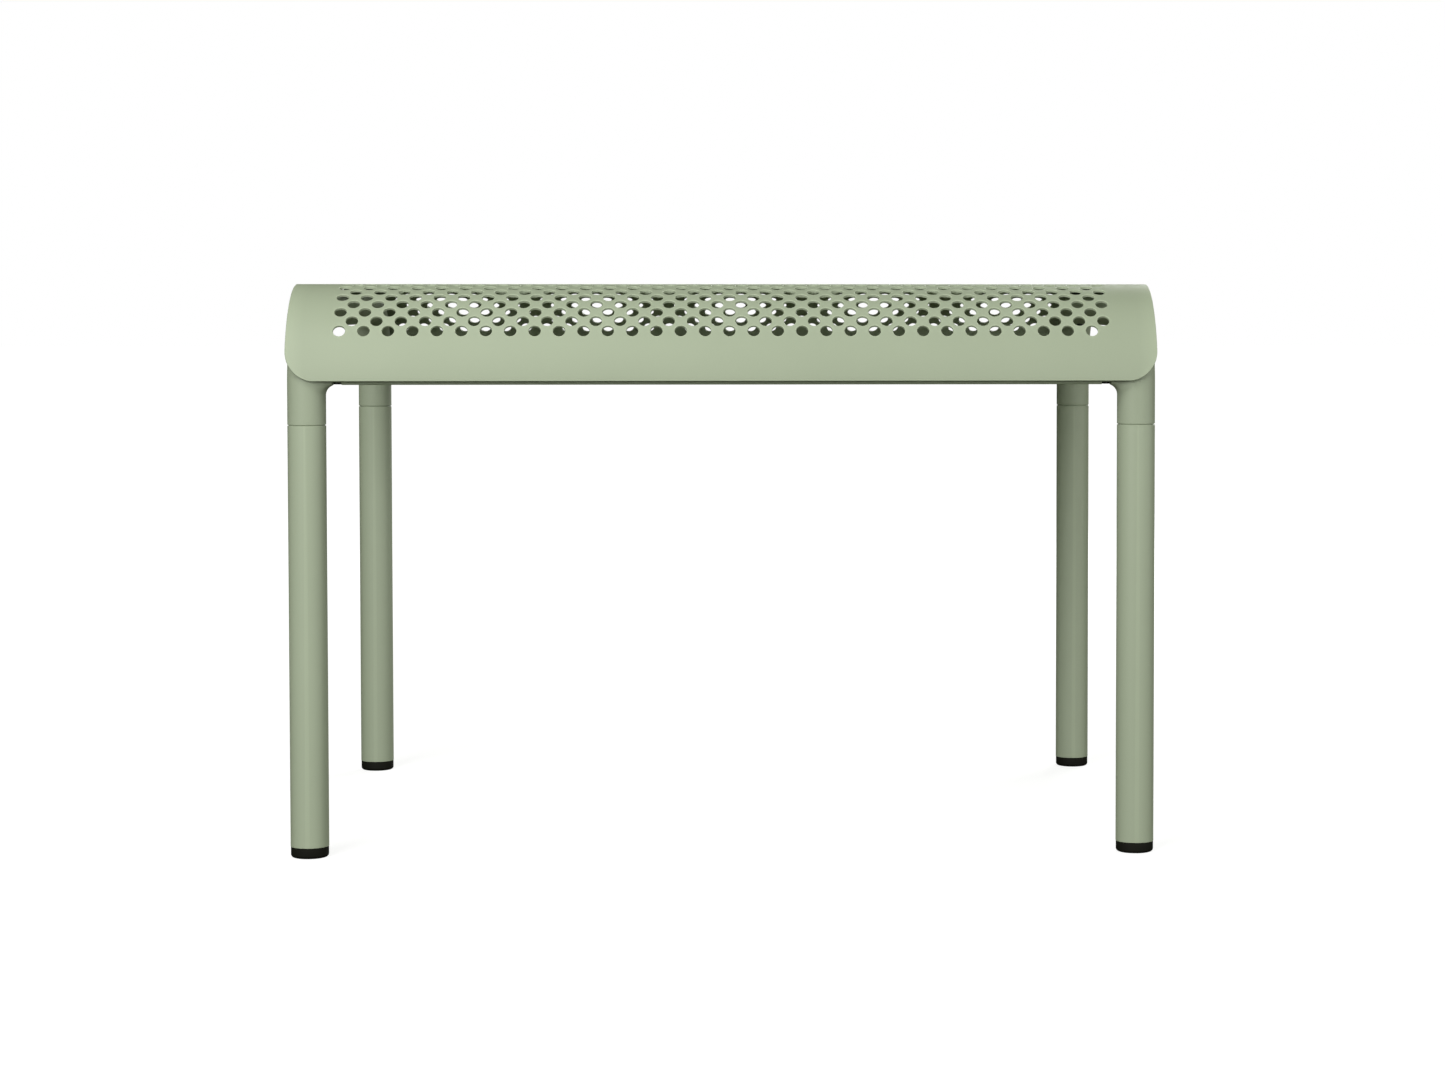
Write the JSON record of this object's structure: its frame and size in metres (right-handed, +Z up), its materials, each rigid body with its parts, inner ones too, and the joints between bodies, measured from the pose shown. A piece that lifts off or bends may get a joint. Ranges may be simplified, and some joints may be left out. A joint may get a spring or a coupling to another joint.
{
  "type": "backless bench",
  "caption": "Backless metal bench: a perforated steel seat sheet bent down at front and back over a bolted round-tube frame on straight legs with low plastic feet",
  "frame": {"origin": "on the floor under the middle of the seat", "axes": "+X along the bench's length, +Z up; the front faces -Y"},
  "size_m": [0.681, 0.5118, 0.45],
  "materials": {
    "powder_coat": "satin sage-green powder coat on steel",
    "cast_coat": "satin sage-green powder coat on cast steel",
    "black_plastic": "moulded black polyamide, matte",
    "black_rubber": "black rubber, matte",
    "black_screw": "black oxide steel",
    "zinc_steel": "zinc-plated steel"
  },
  "bodies": {
    "root": {"seat_sheet": "powder_coat", "rail_front": "powder_coat", "rail_back": "powder_coat", "cross_tube_left": "powder_coat", "cross_tube_right": "powder_coat", "seat_screws": "black_screw", "cross_tube_screws": "black_screw", "rail_screws": "black_screw", "seat_nuts": "zinc_steel", "seat_tab_front_left": "powder_coat", "corner_casting_front_left": "cast_coat", "leg_front_left": "powder_coat", "leg_insert_front_left": "black_plastic", "leg_stud_front_left": "zinc_steel", "foot_front_left": "black_plastic", "seat_pad_front_left": "black_rubber", "seat_tab_front_right": "powder_coat", "corner_casting_front_right": "cast_coat", "leg_front_right": "powder_coat", "leg_insert_front_right": "black_plastic", "leg_stud_front_right": "zinc_steel", "foot_front_right": "black_plastic", "seat_pad_front_right": "black_rubber", "seat_tab_back_left": "powder_coat", "corner_casting_back_left": "cast_coat", "leg_back_left": "powder_coat", "leg_insert_back_left": "black_plastic", "leg_stud_back_left": "zinc_steel", "foot_back_left": "black_plastic", "seat_pad_back_left": "black_rubber", "seat_tab_back_right": "powder_coat", "corner_casting_back_right": "cast_coat", "leg_back_right": "powder_coat", "leg_insert_back_right": "black_plastic", "leg_stud_back_right": "zinc_steel", "foot_back_right": "black_plastic", "seat_pad_back_right": "black_rubber"}
  },
  "joints": []
}
